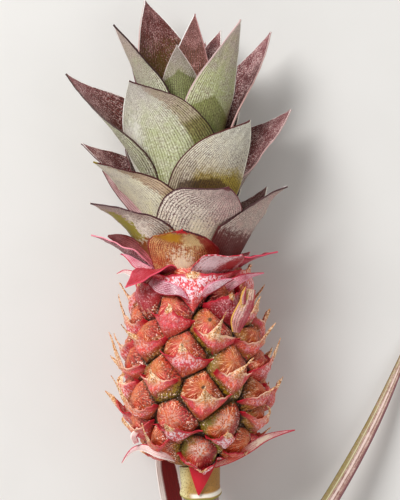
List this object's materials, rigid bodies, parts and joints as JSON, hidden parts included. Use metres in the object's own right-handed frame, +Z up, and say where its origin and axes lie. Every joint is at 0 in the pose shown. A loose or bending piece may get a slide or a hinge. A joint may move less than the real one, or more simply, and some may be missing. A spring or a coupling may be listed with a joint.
{
  "type": "miniature pineapple fruit with crown",
  "caption": "A cut miniature pineapple on its stem: small pink fruit of spiny fruitlets under a full crown of stiff silvery leaves, lying on its side",
  "frame": {"origin": "on the table, under the middle of the whole plant's box", "axes": "+Z up from the table; +Y along the lying plant towards the tip of its crown; +X to the right, seen from above"},
  "size_m": [0.1106, 0.2054, 0.0506],
  "materials": {
    "fruit": "ripe pink to orange rind with frosted bracts",
    "crown_core": "green leaf bases",
    "crown_leaf": "silvery green leaf with mauve veins",
    "under_leaf": "dark maroon and green leaf with a silvery bloom",
    "bract": "crimson bract with white bloom",
    "stem": "mauve grey stem",
    "stem_sheath": "cream and olive leaf sheath",
    "stem_leaf": "dark red leaf with pale margins"
  },
  "bodies": {
    "root": {"crown_core": "crown_core", "crown_leaf_01": "crown_leaf", "crown_leaf_02": "crown_leaf", "crown_leaf_03": "crown_leaf", "crown_leaf_04": "crown_leaf", "crown_leaf_05": "crown_leaf", "crown_leaf_06": "crown_leaf", "crown_leaf_07": "crown_leaf", "crown_leaf_08": "crown_leaf", "crown_leaf_09": "crown_leaf", "crown_leaf_10": "crown_leaf", "crown_leaf_11": "crown_leaf", "crown_leaf_12": "crown_leaf", "crown_leaf_13": "crown_leaf", "crown_leaf_14": "crown_leaf", "crown_leaf_15": "crown_leaf", "crown_leaf_16": "crown_leaf", "fruit": "fruit", "neck_bract_1": "bract", "neck_bract_2": "bract", "neck_bract_3": "bract", "neck_bract_4": "bract", "neck_bract_5": "bract", "neck_bract_6": "bract", "neck_bract_7": "bract", "neck_bract_8": "bract", "stem": "stem", "stem_bract": "bract", "stem_leaf_left": "stem_leaf", "stem_leaf_right": "stem_leaf", "stem_sheath": "stem_sheath", "under_leaf_01": "under_leaf", "under_leaf_02": "under_leaf", "under_leaf_03": "under_leaf", "under_leaf_04": "under_leaf", "under_leaf_05": "under_leaf", "under_leaf_06": "under_leaf", "under_leaf_07": "under_leaf", "under_leaf_08": "under_leaf", "under_leaf_09": "under_leaf", "under_leaf_10": "under_leaf", "under_leaf_11": "under_leaf", "under_leaf_12": "under_leaf"}
  },
  "joints": []
}
